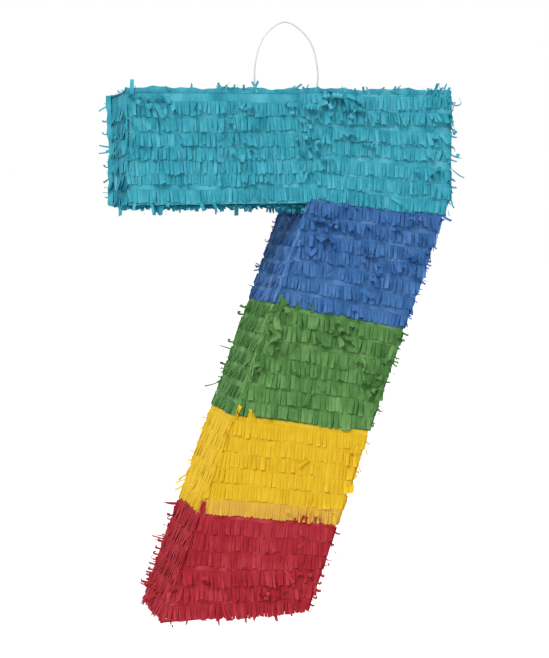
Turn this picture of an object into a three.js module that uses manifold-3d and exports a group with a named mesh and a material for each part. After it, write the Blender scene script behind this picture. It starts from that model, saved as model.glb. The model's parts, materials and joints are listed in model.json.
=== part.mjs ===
// A number seven pinata: a hollow card shell under rows of tissue fringe, with a wire loop to hang it by
// and a fill flap in its back. Millimetres, +Z up, +X to the right of the front, and the front faces -Y.
// The origin is the hanging point: the inside of the loop at its top.
import * as THREE from 'three'
import { mergeVertices } from 'three/addons/utils/BufferGeometryUtils.js'
import Module from 'manifold-3d'

// The seven's outline, with x from its left end and z from its top
const TOTAL_HEIGHT = 540
const DEPTH = 98
const BAR_WIDTH = 349
const BAR_HEIGHT = 116
const ELBOW_DROP = 106
const CROTCH_X = 188
const FOOT_LEFT = 26
const FOOT_RIGHT = 186

// Layers from the outside in: tissue covering, card wall, corner tape
const GAP = 0.3
const COVER = 4 + GAP
const CARD = 3 + GAP
const TAPE = 0.5 + GAP
const TAPE_REACH = 14

// Where the colour bands meet on the front: the drop at the leg's inner edge, which is carried up past the
// bar's underside for the blue one, and the tilt down to the right
const BANDS = {
  blue: { drop: BAR_HEIGHT - 7, tilt: 8 },
  green: { drop: 216, tilt: 12.5 },
  yellow: { drop: 332, tilt: 9.3 },
  red: { drop: 431, tilt: 8.8 },
}

// The seam between the level and the tilted rows on the bar's front
const SEAM_TOP_X = 181
const SEAM_LOW_X = 202

// The hanging wire
const WIRE_RADIUS = 0.9
const WIRE_HOLE_RADIUS = 1.4
const WIRE_SIDES = 10
const LOOP_HEIGHT = 75
const LOOP_CENTRE_X = 181.3
const LOOP_PIVOT_LIFT = 1.5
const FOOT_OFFSETS = { left: -35.2, right: 33 }
const TAIL_REACH = 14
const TAIL_BEND = 3
const PLATE_WIDTH = 104
const PLATE_DEPTH = 50

// The fill flap in the back
const FLAP_LEFT = 215
const FLAP_RIGHT = 305
const FLAP_TOP = -24
const FLAP_BOTTOM = -94
const FLAP_KERF = 0.4
const FLAP_COVER_DROP = 6.5
const FLAP_COVER_MARGIN = 1.5

const COLOURS = {
  card: 0xa98458,
  tape: 0xc7a97c,
  wire: 0xe2e4e6,
  teal: 0x4099ac,
  blue: 0x3d669b,
  green: 0x537e47,
  yellow: 0xe2b829,
  red: 0xa52d37,
}

const rad = THREE.MathUtils.degToRad

const outline = [
  [0, 0],
  [BAR_WIDTH, 0],
  [BAR_WIDTH, -ELBOW_DROP],
  [FOOT_RIGHT, -TOTAL_HEIGHT],
  [FOOT_LEFT, -TOTAL_HEIGHT],
  [CROTCH_X, -BAR_HEIGHT],
  [0, -BAR_HEIGHT],
]
const EDGES = { top: 0, rightEnd: 1, legOuter: 2, foot: 3, legInner: 4, underside: 5, leftEnd: 6 }
const CORNERS = ['top_left', 'top_right', 'elbow', 'foot_right', 'foot_left', 'crotch', 'bar_low_left']

const wasm = await Module()
wasm.setup()

const seven = new THREE.Group()
seven.position.set(-LOOP_CENTRE_X, -DEPTH / 2, -(LOOP_HEIGHT - WIRE_RADIUS))
const pinata = new THREE.Group()
pinata.add(seven)

// ---- plane geometry, on [x, z] points in clockwise order ----

function meet(p, u, q, v) {
  const cross = u[0] * v[1] - u[1] * v[0]
  const t = ((q[0] - p[0]) * v[1] - (q[1] - p[1]) * v[0]) / cross
  return [p[0] + u[0] * t, p[1] + u[1] * t]
}

function direction(a, b) {
  const length = Math.hypot(b[0] - a[0], b[1] - a[1])
  return [(b[0] - a[0]) / length, (b[1] - a[1]) / length]
}

// A point moved inwards from an edge that runs along u
function inward(point, u, distance) {
  return [point[0] + u[1] * distance, point[1] - u[0] * distance]
}

// The polygon with every edge moved inwards by a distance, corners mitred
function inset(polygon, distance) {
  const count = polygon.length
  return polygon.map((corner, i) => {
    const before = direction(polygon[(i + count - 1) % count], corner)
    const after = direction(corner, polygon[(i + 1) % count])
    return meet(inward(corner, before, distance), before, inward(corner, after, distance), after)
  })
}

function rectangle(left, right, bottom, top) {
  return [[left, top], [right, top], [right, bottom], [left, bottom]]
}

// The point at height z on one of the outline's slanted edges
function onEdge(edge, z) {
  const start = outline[edge]
  const end = outline[(edge + 1) % outline.length]
  const t = (z - start[1]) / (end[1] - start[1])
  return [start[0] + (end[0] - start[0]) * t, z]
}

// The two ends of a band's upper boundary, on the leg's inner and outer edges
function boundary(name) {
  const { drop, tilt } = BANDS[name]
  const inner = onEdge(EDGES.legInner, -drop)
  const slope = [Math.cos(rad(tilt)), -Math.sin(rad(tilt))]
  const elbow = outline[EDGES.legOuter]
  const outer = meet(inner, slope, elbow, direction(elbow, outline[EDGES.foot]))
  return { inner, outer }
}

// ---- solids ----

function addMesh(name, geometry, colour, roughness = 0.9) {
  const material = new THREE.MeshStandardMaterial({ color: COLOURS[colour], roughness, metalness: 0 })
  const mesh = new THREE.Mesh(geometry, material)
  mesh.name = name
  seven.add(mesh)
  return mesh
}

// A flat piece whose outline lies in the front plane, between two depths, half a gap small all round.
// A hole runs the other way round from the outline.
function slabGeometry(polygon, near, far, hole = null) {
  const shape = new THREE.Shape(inset(polygon, GAP / 2).map(([x, z]) => new THREE.Vector2(x, z)))
  if (hole) {
    const rim = inset(hole, -GAP / 2).reverse()
    shape.holes.push(new THREE.Path(rim.map(([x, z]) => new THREE.Vector2(x, z))))
  }
  const geometry = new THREE.ExtrudeGeometry(shape, { depth: far - near - GAP, bevelEnabled: false })
  geometry.rotateX(Math.PI / 2)
  geometry.translate(0, far - GAP / 2, 0)
  return geometry
}

function addSlab(name, colour, polygon, near, far, hole = null) {
  return addMesh(name, slabGeometry(polygon, near, far, hole), colour)
}

function toManifold(geometry) {
  const bare = geometry.clone()
  bare.deleteAttribute('normal')
  bare.deleteAttribute('uv')
  const merged = mergeVertices(bare, 1e-4)
  const vertProperties = new Float32Array(merged.attributes.position.array)
  const triVerts = new Uint32Array(merged.index.array)
  return new wasm.Manifold(new wasm.Mesh({ numProp: 3, vertProperties, triVerts }))
}

function fromManifold(solid) {
  const { vertProperties, triVerts } = solid.getMesh()
  const geometry = new THREE.BufferGeometry()
  geometry.setAttribute('position', new THREE.BufferAttribute(vertProperties, 3))
  geometry.setIndex(new THREE.BufferAttribute(triVerts, 1))
  geometry.computeVertexNormals()
  return geometry
}

// The two upright holes that the wire's tails pass through
function drillForWire(geometry) {
  let solid = toManifold(geometry)
  for (const offset of Object.values(FOOT_OFFSETS)) {
    const drill = new THREE.CylinderGeometry(WIRE_HOLE_RADIUS, WIRE_HOLE_RADIUS, 60, 16)
    drill.rotateX(Math.PI / 2)
    drill.translate(LOOP_CENTRE_X + offset, DEPTH / 2, 0)
    solid = solid.subtract(toManifold(drill))
  }
  return fromManifold(solid)
}

// A full circle gets two sides for each curve segment
function wireGeometry(points, steps) {
  const section = new THREE.Shape()
  section.absarc(0, 0, WIRE_RADIUS, 0, Math.PI * 2)
  const path = new THREE.CatmullRomCurve3(points.map((p) => new THREE.Vector3(...p)))
  return new THREE.ExtrudeGeometry(section, {
    steps,
    curveSegments: WIRE_SIDES / 2,
    bevelEnabled: false,
    extrudePath: path,
  })
}

// ---- the card shell ----

const CARD_OUTER = COVER
const CARD_INNER = COVER + CARD
const TAPE_INNER = CARD_INNER + TAPE

function wallPolygon(edge, outerInset, innerInset) {
  const next = (edge + 1) % outline.length
  const outer = inset(outline, outerInset)
  const inner = inset(outline, innerInset)
  return [outer[edge], outer[next], inner[next], inner[edge]]
}

function buildCardShell() {
  const flapHole = inset(rectangle(FLAP_LEFT, FLAP_RIGHT, FLAP_BOTTOM, FLAP_TOP), -FLAP_KERF)
  const panel = inset(outline, CARD_OUTER)
  addSlab('front_panel', 'card', panel, CARD_OUTER, CARD_INNER)
  addSlab('back_panel', 'card', panel, DEPTH - CARD_INNER, DEPTH - CARD_OUTER, flapHole)
  const walls = {
    right_end_wall: EDGES.rightEnd,
    leg_outer_wall: EDGES.legOuter,
    foot_wall: EDGES.foot,
    leg_inner_wall: EDGES.legInner,
    bar_underside_wall: EDGES.underside,
    left_end_wall: EDGES.leftEnd,
  }
  for (const [name, edge] of Object.entries(walls)) {
    addSlab(name, 'card', wallPolygon(edge, CARD_OUTER, CARD_INNER), CARD_INNER, DEPTH - CARD_INNER)
  }
  const top = wallPolygon(EDGES.top, CARD_OUTER, CARD_INNER)
  addMesh('top_wall', drillForWire(slabGeometry(top, CARD_INNER, DEPTH - CARD_INNER)), 'card')
}

// Paper tape folded into each inside corner of the shell
function buildCornerTapes() {
  const outer = inset(outline, CARD_INNER)
  const inner = inset(outline, TAPE_INNER)
  CORNERS.forEach((name, i) => {
    const count = outline.length
    const before = direction(outline[(i + count - 1) % count], outline[i])
    const after = direction(outline[i], outline[(i + 1) % count])
    const back = (p) => [p[0] - before[0] * TAPE_REACH, p[1] - before[1] * TAPE_REACH]
    const ahead = (p) => [p[0] + after[0] * TAPE_REACH, p[1] + after[1] * TAPE_REACH]
    const start = inward(back(outer[i]), before, TAPE)
    const end = inward(ahead(outer[i]), after, TAPE)
    const strip = [back(outer[i]), outer[i], ahead(outer[i]), end, inner[i], start]
    addSlab(`tape_${name}`, 'tape', strip, CARD_INNER, DEPTH - CARD_INNER)
  })
}

function buildFillFlap() {
  const door = inset(rectangle(FLAP_LEFT, FLAP_RIGHT, FLAP_BOTTOM, FLAP_TOP), GAP / 2)
  addSlab('fill_flap', 'card', door, DEPTH - CARD_INNER, DEPTH - CARD_OUTER)
  const cover = rectangle(FLAP_LEFT, FLAP_RIGHT, FLAP_BOTTOM, FLAP_TOP - FLAP_COVER_DROP)
  addSlab('teal_flap_cover', 'teal', cover, DEPTH - COVER, DEPTH)
}

// ---- the hanging wire ----

function buildHangingWire() {
  const loopPoints = [
    [FOOT_OFFSETS.left, 0, LOOP_PIVOT_LIFT - LOOP_HEIGHT],
    [-33.4, 0, -41],
    [-22.9, 0, -14.3],
    [0, 0, 0],
    [25.6, 0, -18.4],
    [34.8, 0, -51],
    [FOOT_OFFSETS.right, 0, LOOP_PIVOT_LIFT - LOOP_HEIGHT],
  ]
  const atTop = loopPoints.map(([x, y, z]) => [LOOP_CENTRE_X + x, DEPTH / 2 + y, LOOP_HEIGHT + z])
  addMesh('hanging_loop', wireGeometry(atTop, 64), 'wire', 0.35)

  const plateTop = -CARD_INNER
  const plateLow = plateTop - CARD
  const plate = rectangle(LOOP_CENTRE_X - PLATE_WIDTH / 2, LOOP_CENTRE_X + PLATE_WIDTH / 2, plateLow, plateTop)
  const nearSide = (DEPTH - PLATE_DEPTH) / 2
  addMesh('anchor_plate', drillForWire(slabGeometry(plate, nearSide, DEPTH - nearSide)), 'card')

  // Each tail goes straight down through the plate, then bends outwards under it
  const bendStart = plateLow - GAP
  const bendEnd = bendStart - TAIL_BEND
  for (const [side, offset] of Object.entries(FOOT_OFFSETS)) {
    const x = LOOP_CENTRE_X + offset
    const way = Math.sign(offset)
    const points = [
      [x, DEPTH / 2, GAP],
      [x, DEPTH / 2, plateTop],
      [x, DEPTH / 2, bendStart],
      [x + way * TAIL_BEND * 0.3, DEPTH / 2, bendStart - TAIL_BEND * 0.7],
      [x + way * TAIL_BEND, DEPTH / 2, bendEnd],
      [x + way * TAIL_REACH, DEPTH / 2, bendEnd],
    ]
    addMesh(`loop_tail_${side}`, wireGeometry(points, 28), 'wire', 0.35)
  }
}

// ---- the tissue covering ----

const faceCorners = {
  topLeft: outline[0],
  topRight: outline[1],
  elbow: outline[2],
  footRight: outline[3],
  footLeft: outline[4],
  crotch: outline[5],
  lowLeft: outline[6],
}

// The face of each colour on the leg, between its own boundary and the next one
function legBandPolygon(name, next) {
  const upper = boundary(name)
  if (!next) {
    return [upper.inner, upper.outer, faceCorners.footRight, faceCorners.footLeft]
  }
  const lower = boundary(next)
  return [upper.inner, upper.outer, lower.outer, lower.inner]
}

function buildBarCovers() {
  const c = faceCorners
  const low = boundary('blue')
  const slope = direction(low.inner, low.outer)
  const seamTop = [SEAM_TOP_X, 0]
  const seamLow = [SEAM_LOW_X, low.inner[1] + (slope[1] / slope[0]) * (SEAM_LOW_X - low.inner[0])]
  addSlab('teal_front_left', 'teal', [c.topLeft, seamTop, seamLow, low.inner, c.crotch, c.lowLeft], 0, COVER)
  addSlab('teal_front_right', 'teal', [seamTop, c.topRight, c.elbow, low.outer, seamLow], 0, COVER)

  const flapHole = rectangle(
    FLAP_LEFT - FLAP_COVER_MARGIN,
    FLAP_RIGHT + FLAP_COVER_MARGIN,
    FLAP_BOTTOM - FLAP_COVER_MARGIN,
    FLAP_TOP + FLAP_COVER_MARGIN,
  )
  const whole = [c.topLeft, c.topRight, c.elbow, low.outer, low.inner, c.crotch, c.lowLeft]
  addSlab('teal_back', 'teal', whole, DEPTH - COVER, DEPTH, flapHole)

  const top = wallPolygon(EDGES.top, 0, COVER)
  addMesh('teal_top', drillForWire(slabGeometry(top, COVER, DEPTH - COVER)), 'teal')
  addSlab('teal_underside', 'teal', wallPolygon(EDGES.underside, 0, COVER), COVER, DEPTH - COVER)
  addSlab('teal_left_end', 'teal', wallPolygon(EDGES.leftEnd, 0, COVER), COVER, DEPTH - COVER)

  const inner = inset(outline, COVER)
  const legWay = direction(c.elbow, c.footRight)
  const rightEnd = [c.topRight, c.elbow, low.outer, inward(low.outer, legWay, COVER), inner[2], inner[1]]
  addSlab('teal_right_end', 'teal', rightEnd, COVER, DEPTH - COVER)
}

// The strip of covering on one of the leg's slanted sides, from one height to another
function legSidePolygon(edge, from, to) {
  const way = direction(outline[edge], outline[edge + 1])
  const inner = inset(outline, COVER)
  const start = from ?? { outer: outline[edge], inner: inner[edge] }
  const end = to ?? { outer: outline[edge + 1], inner: inner[edge + 1] }
  const outerStart = start.outer ?? start
  const outerEnd = end.outer ?? end
  return [
    outerStart,
    outerEnd,
    end.inner ?? inward(outerEnd, way, COVER),
    start.inner ?? inward(outerStart, way, COVER),
  ]
}

function buildLegCovers() {
  const names = Object.keys(BANDS)
  names.forEach((name, i) => {
    const next = names[i + 1]
    const face = legBandPolygon(name, next)
    addSlab(`${name}_front`, name, face, 0, COVER)
    addSlab(`${name}_back`, name, face, DEPTH - COVER, DEPTH)
    const lower = next ? boundary(next) : null
    const outerSide = legSidePolygon(EDGES.legOuter, boundary(name).outer, lower?.outer)
    addSlab(`${name}_outer_side`, name, outerSide, COVER, DEPTH - COVER)
    const startsAtCrotch = i === 0 ? null : boundary(name).inner
    const innerSide = legSidePolygon(EDGES.legInner, lower?.inner, startsAtCrotch)
    addSlab(`${name}_inner_side`, name, innerSide, COVER, DEPTH - COVER)
  })
  addSlab('red_foot', 'red', wallPolygon(EDGES.foot, 0, COVER), COVER, DEPTH - COVER)
}

buildCardShell()
buildCornerTapes()
buildFillFlap()
buildHangingWire()
buildBarCovers()
buildLegCovers()

export default pinata
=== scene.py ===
"""The looks of a number seven pinata: rows of cut tissue on every side of its card shell.

Every row is a strip of tissue with an uncut header, glued down, and a fringe of narrow tabs below it.
Metres throughout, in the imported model's own frame: +Z up, the front faces -Y.
"""

import json
import math
from dataclasses import dataclass, replace

import bpy
import numpy as np
from mathutils import Matrix, Vector


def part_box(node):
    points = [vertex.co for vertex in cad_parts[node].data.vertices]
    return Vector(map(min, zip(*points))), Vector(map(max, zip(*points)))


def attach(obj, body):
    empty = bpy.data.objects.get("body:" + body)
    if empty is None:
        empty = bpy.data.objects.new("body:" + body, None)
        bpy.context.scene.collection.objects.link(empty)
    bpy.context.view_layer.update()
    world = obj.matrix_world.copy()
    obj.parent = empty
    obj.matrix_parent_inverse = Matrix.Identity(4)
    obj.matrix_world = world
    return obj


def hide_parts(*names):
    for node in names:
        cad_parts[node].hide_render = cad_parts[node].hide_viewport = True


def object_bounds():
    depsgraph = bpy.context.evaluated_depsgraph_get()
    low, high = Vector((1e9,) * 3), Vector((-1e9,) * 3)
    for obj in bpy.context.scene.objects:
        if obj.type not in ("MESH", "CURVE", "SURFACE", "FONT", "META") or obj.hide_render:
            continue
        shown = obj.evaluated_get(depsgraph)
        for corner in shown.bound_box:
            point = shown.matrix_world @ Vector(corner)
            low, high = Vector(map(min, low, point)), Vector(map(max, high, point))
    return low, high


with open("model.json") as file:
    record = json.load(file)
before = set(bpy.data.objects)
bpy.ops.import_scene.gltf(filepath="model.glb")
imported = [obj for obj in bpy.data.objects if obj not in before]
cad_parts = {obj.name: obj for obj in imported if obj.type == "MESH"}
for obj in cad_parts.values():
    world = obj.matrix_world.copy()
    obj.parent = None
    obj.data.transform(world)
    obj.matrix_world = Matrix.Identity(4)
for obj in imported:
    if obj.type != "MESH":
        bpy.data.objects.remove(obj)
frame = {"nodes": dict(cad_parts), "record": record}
CAD_LOW, CAD_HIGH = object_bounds()

MM = 0.001
UP = np.array([0.0, 0.0, 1.0])
SEED = 7

# The camera: where it stands from the hanging point, which way it looks, and its lens and film
CAMERA_AT = (-0.4773, -1.604, -0.1881)
CAMERA_YAW = math.radians(16.03)
CAMERA_DROP = math.radians(4.61)
CAMERA_ROLL = math.radians(-0.73)
LENS = 85.95
SENSOR = 36.0

# The key light: where it comes from, how wide it looks and how strong it is, and the strength of the sky
KEY_FROM = (-0.52, -0.62, 0.6)
KEY_WIDTH = math.radians(24)
KEY_STRENGTH = 3.1
WORLD_STRENGTH = 0.76

FLOOR_DROP = 1.5
FLOOR_REACH = 40

# Heights above the covering's outline, from the flat tissue up. A tab's tip lies on the next row's header
BASE_OUT = -2.6 * MM
LOWEST_OUT = -2.2 * MM
UNDER_PLY_OUT = -1.9 * MM
HEADER_OUT = -1.5 * MM
UNDER_TIP_OUT = -1.4 * MM
TOP_PLY_OUT = -1.3 * MM
TOP_TIP_OUT = -1.25 * MM
TIP_SPREAD = 0.12 * MM

# Where loose tissue stands out further than this, the given share of the rest is pressed back
FRONT_ROOM = 7 * MM
SIDE_ROOM = 14 * MM
PRESSED_BACK = 0.6

# Down a tab: where its fold starts and how much of it that takes, how much it narrows, and its painted
# light: tips painted lighter where they catch the light, roots painted darker as painted shade under the row
# above
FOLD_START = 0.1
FOLD_SHARE = 0.35
TAPER = 0.06
TIP_PAINTED_LIGHT = 0.3

# Near an edge, tabs point along it
EDGE_REACH = 9 * MM

# The size of the cells that flat tissue, headers and ridges are made of
BASE_CELL = 4 * MM
HEADER_CELL = 3 * MM
RIDGE_CELL = 1.5 * MM

# How many steps a tab of each kind bends in
UNDER_STEPS = 3
TOP_STEPS = 8
STRAND_STEPS = 12
STRAY_STEPS = 22

# A tab shorter than this is left out
SHORTEST_TAB = 2 * MM

# Across a ridge, in mm: how far in from the edge, the share of its height, and how far above the edge
RIDGE_PROFILE = (
    (2.5, 0, -4.2), (1.7, 0, -2.6), (0.9, 0, -0.8), (0.9, 0.8, 0), (2.2, 1, 0), (4.5, 0.8, 0), (9, 0, -0.8),
)
RIDGE_HEIGHT = 2.5

# Across a turned-in bottom edge, in mm: how far up from it, and how far out. Then how finely folds are cut
BOTTOM_FOLD_PROFILE = ((4.0, -1.55), (0.8, -1.3), (0.3, -1.9), (0.5, -5.0))
BOTTOM_FOLD_COLUMNS = 80
EDGE_FOLD_ROWS = 40

# No tab starts this near the wire, over the stretch where it comes through the top and lies when folded
WIRE_ROOM = 5 * MM
WIRE_FRONT = -26 * MM
WIRE_BACK = 3 * MM


# ---- the camera and light ----


def put(name, data):
    """A new object in the scene, made of the given data."""
    made = bpy.data.objects.new(name, data)
    bpy.context.scene.collection.objects.link(made)
    return made


def add_camera():
    level = math.cos(CAMERA_DROP)
    forward = Vector((math.sin(CAMERA_YAW) * level, math.cos(CAMERA_YAW) * level, -math.sin(CAMERA_DROP)))
    level_right = Vector((math.cos(CAMERA_YAW), -math.sin(CAMERA_YAW), 0))
    level_up = level_right.cross(forward)
    right = level_right * math.cos(CAMERA_ROLL) + level_up * math.sin(CAMERA_ROLL)
    up = right.cross(forward)
    data = bpy.data.cameras.new("camera")
    data.lens = LENS
    data.sensor_width = SENSOR
    camera = put("camera", data)
    turn = Matrix((right, up, -forward)).transposed()
    camera.matrix_world = Matrix.Translation(CAMERA_AT) @ turn.to_4x4()
    bpy.context.scene.camera = camera


def add_light():
    """One soft far light, and a world that lights less strongly than the white it shows the camera."""
    data = bpy.data.lights.new("key", "SUN")
    data.angle = KEY_WIDTH
    data.energy = KEY_STRENGTH
    key = put("key", data)
    key.rotation_mode = "QUATERNION"
    key.rotation_quaternion = Vector(KEY_FROM).to_track_quat("Z", "Y")
    world = bpy.data.worlds.new("world")
    world.use_nodes = True
    tree = world.node_tree
    around = tree.nodes["Background"]
    around.inputs["Color"].default_value = (1, 1, 1, 1)
    around.inputs["Strength"].default_value = WORLD_STRENGTH
    backdrop = tree.nodes.new("ShaderNodeBackground")
    backdrop.inputs["Color"].default_value = (1, 1, 1, 1)
    mix = tree.nodes.new("ShaderNodeMixShader")
    path = tree.nodes.new("ShaderNodeLightPath")
    tree.links.new(path.outputs["Is Camera Ray"], mix.inputs[0])
    tree.links.new(around.outputs[0], mix.inputs[1])
    tree.links.new(backdrop.outputs[0], mix.inputs[2])
    tree.links.new(mix.outputs[0], tree.nodes["World Output"].inputs["Surface"])
    bpy.context.scene.world = world
    bpy.context.scene.view_settings.view_transform = "Standard"


# ---- materials ----


def srgb(r, g, b):
    """A colour given as on a screen, 0 to 255, as the linear colour that nodes take."""
    return tuple(((c / 255 + 0.055) / 1.055) ** 2.4 if c > 10 else c / 3294 for c in (r, g, b)) + (1,)


class Nodes:
    """A material's node tree, with short ways to add and join nodes."""

    def __init__(self, name):
        self.material = bpy.data.materials.new(name)
        self.material.use_nodes = True
        self.tree = self.material.node_tree
        self.shader = self.tree.nodes["Principled BSDF"]
        self.output = self.tree.nodes["Material Output"]
        self.place = self.add("ShaderNodeTexCoord").outputs["Object"]

    def add(self, kind, **settings):
        node = self.tree.nodes.new(kind)
        for key, value in settings.items():
            setattr(node, key, value)
        return node

    def feed(self, socket, value):
        if isinstance(value, bpy.types.NodeSocket):
            self.tree.links.new(value, socket)
        else:
            socket.default_value = value

    def math(self, operation, *values):
        node = self.add("ShaderNodeMath", operation=operation)
        for socket, value in zip(node.inputs, values):
            self.feed(socket, value)
        return node.outputs[0]

    def noise(self, scale, stretch=(1, 1, 1), detail=3.0):
        mapping = self.add("ShaderNodeMapping")
        mapping.inputs["Scale"].default_value = stretch
        self.feed(mapping.inputs["Vector"], self.place)
        node = self.add("ShaderNodeTexNoise")
        self.feed(node.inputs["Vector"], mapping.outputs[0])
        node.inputs["Scale"].default_value = scale
        node.inputs["Detail"].default_value = detail
        return node.outputs["Fac"]

    def ramp(self, factor, stops):
        """A colour for each value of factor, between stops given as positions and screen colours."""
        node = self.add("ShaderNodeValToRGB")
        self.feed(node.inputs["Fac"], factor)
        elements = node.color_ramp.elements
        while len(elements) < len(stops):
            elements.new(0.5)
        for element, (position, colour) in zip(elements, stops):
            element.position = position
            element.color = srgb(*colour)
        return node.outputs["Color"]

    def paint(self, factor, stops, grain, roughness, spread):
        """Sets the shader's colour, by a factor, and its roughness, varied by a grain. Gives the colour."""
        colour = self.ramp(factor, stops)
        self.feed(self.shader.inputs["Base Color"], colour)
        self.feed(self.shader.inputs["Roughness"], self.math("MULTIPLY_ADD", grain, spread, roughness))
        return colour

    def bump(self, height, strength, distance):
        node = self.add("ShaderNodeBump")
        node.inputs["Strength"].default_value = strength
        node.inputs["Distance"].default_value = distance
        self.feed(node.inputs["Height"], height)
        self.feed(self.shader.inputs["Normal"], node.outputs[0])
        return node.outputs[0]


def tissue(name, dark, base, light, faded, clear=0.32):
    """Dyed tissue: each tab's own tone together with painted light and shade from the shade attribute, crepe
    lines, cloudy patches, and light coming through.
    """
    n = Nodes(name)
    shade = n.add("ShaderNodeAttribute", attribute_name="shade").outputs["Fac"]
    crepe = n.noise(620, (1, 1, 0.14), 2.0)
    cloud = n.noise(90, detail=4.0)
    fibre = n.noise(1500, detail=3.0)
    factor = n.math("MULTIPLY_ADD", shade, 0.3, 0.42)
    for pattern, amount in ((crepe, 0.36), (cloud, 0.5), (fibre, 0.2)):
        offset = n.math("MULTIPLY_ADD", pattern, amount, -amount / 2)
        factor = n.math("ADD", factor, offset)
    stops = [(0.0, dark), (0.42, base), (0.72, light), (1.0, faded)]
    colour = n.paint(factor, stops, fibre, 0.7, 0.2)
    n.shader.inputs["Specular IOR Level"].default_value = 0.18
    normal = n.bump(n.math("ADD", crepe, fibre), 0.4, 0.25 * MM)
    through = n.add("ShaderNodeBsdfTranslucent")
    deeper = n.add("ShaderNodeGamma")
    n.feed(deeper.inputs["Color"], colour)
    deeper.inputs["Gamma"].default_value = 1.4
    n.feed(through.inputs["Color"], deeper.outputs[0])
    n.feed(through.inputs["Normal"], normal)
    mix = n.add("ShaderNodeMixShader")
    mix.inputs[0].default_value = clear
    n.feed(mix.inputs[1], n.shader.outputs[0])
    n.feed(mix.inputs[2], through.outputs[0])
    n.feed(n.output.inputs["Surface"], mix.outputs[0])
    return n.material


def card_material():
    """Brown corrugated card: faint flutes, flecks and soft patches."""
    n = Nodes("card")
    flutes = n.add("ShaderNodeTexWave", bands_direction="Z")
    n.feed(flutes.inputs["Vector"], n.place)
    flutes.inputs["Scale"].default_value = 40
    flutes.inputs["Distortion"].default_value = 0.4
    flecks = n.noise(900, detail=4.0)
    patches = n.noise(30)
    mixed = n.math("MULTIPLY_ADD", patches, 0.5, n.math("MULTIPLY", flecks, 0.5))
    mixed = n.math("MULTIPLY_ADD", flutes.outputs["Fac"], 0.06, mixed)
    stops = [(0.3, (128, 94, 58)), (0.55, (170, 133, 90)), (0.8, (196, 160, 116))]
    n.paint(mixed, stops, flecks, 0.75, 0.15)
    n.bump(n.math("MULTIPLY_ADD", flutes.outputs["Fac"], 0.7, flecks), 0.3, 0.2 * MM)
    return n.material


def tape_material():
    """Gummed paper tape, a little glossier and paler than the card."""
    n = Nodes("tape")
    flecks = n.noise(1200, detail=4.0)
    n.paint(flecks, [(0.3, (180, 148, 104)), (0.7, (214, 186, 142))], flecks, 0.4, 0.2)
    n.bump(flecks, 0.2, 0.1 * MM)
    return n.material


def wire_material():
    """Wire in a thin white plastic coat, with a slight waviness."""
    n = Nodes("wire")
    grain = n.noise(220)
    n.paint(grain, [(0.3, (184, 184, 182)), (0.7, (204, 203, 201))], grain, 0.25, 0.2)
    n.bump(grain, 0.15, 0.1 * MM)
    return n.material


def floor_material():
    n = Nodes("floor")
    grain = n.noise(4, detail=5.0)
    n.paint(grain, [(0.3, (246, 246, 246)), (0.7, (252, 252, 252))], grain, 0.9, 0.0)
    return n.material


# ---- the faces that rows are laid on ----


def flat_points(node):
    return {(round(v.co.x, 6), round(v.co.z, 6)) for v in frame["nodes"][node].data.vertices}


def flat_corners(node):
    """A front cover's corners, as (x, z): upper left, upper right, lower right and lower left."""
    points = flat_points(node)
    return (
        max(points, key=lambda p: p[1] - p[0] / 2),
        max(points, key=lambda p: p[1] + p[0]),
        min(points, key=lambda p: p[1] - p[0] / 2),
        min(points, key=lambda p: p[1] + p[0]),
    )


class Edge:
    """A line of two or more points, read by the share of its length from its start."""

    def __init__(self, *points):
        self.points = np.array(points, float)
        lengths = np.linalg.norm(np.diff(self.points, axis=0), axis=1)
        self.length = lengths.sum()
        self.at = np.concatenate([[0], np.cumsum(lengths)]) / self.length

    def stretch(self, share):
        return int(np.clip(np.searchsorted(self.at, share, side="right") - 1, 0, len(self.at) - 2))

    def point(self, share):
        """The point at a share, running on straight past either end."""
        i = self.stretch(share)
        t = (share - self.at[i]) / (self.at[i + 1] - self.at[i])
        return self.points[i] * (1 - t) + self.points[i + 1] * t

    def way(self, share):
        i = self.stretch(share)
        step = self.points[i + 1] - self.points[i]
        return step / np.linalg.norm(step)


class Line:
    """A line across a face, with its length and its ways across, down and out."""

    def __init__(self, face, down):
        share = down / face.height
        self.start, end = face.left.point(share), face.right.point(share)
        self.length = np.linalg.norm(end - self.start)
        self.across = (end - self.start) / self.length
        self.left_way, self.right_way = face.left.way(share), face.right.way(share)
        out = np.cross(self.left_way + self.right_way, self.across)
        self.out = out / np.linalg.norm(out)
        self.fall = np.cross(self.across, self.out)

    def hang(self, s, lean, pull):
        """The way a tab points at a place: down, along an edge that is near, and pulled by weight."""
        near_left = math.exp(-max(s, 0) / EDGE_REACH)
        near_right = math.exp(-max(self.length - s, 0) / EDGE_REACH)
        way = self.fall + lean * near_left * (self.left_way - self.fall)
        way = way + lean * near_right * (self.right_way - self.fall)
        weight = -UP + self.out * np.dot(UP, self.out)
        if np.linalg.norm(weight) > 0.3:
            way = way + pull * (1 - near_left) * (1 - near_right) * weight
        return way / np.linalg.norm(way)


class Face:
    """A side of the covering as seen from outside, between its left and right edges. Tabs point down them.

    Where an edge is named in flat, the next face carries on in the same plane. Where it is named in
    hollow, the two meet in an inside corner, and elsewhere in an outside one.
    """

    def __init__(self, left, right, flat=(), hollow=()):
        self.left, self.right, self.flat, self.hollow = left, right, flat, hollow
        self.height = (left.length + right.length) / 2

    def trim(self, edge):
        """How far the flat tissue stays in from an edge, so that it meets the next face's."""
        if edge in self.flat:
            return 0.0
        return BASE_OUT if edge in self.hollow else -BASE_OUT


# ---- paper ----


def quads(rows, columns):
    """The faces of a sheet whose points form rows and columns."""
    first = np.arange(rows - 1)[:, None] * columns + np.arange(columns - 1)[None]
    return np.stack([first, first + columns, first + columns + 1, first + 1], -1).reshape(-1, 4)


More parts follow.
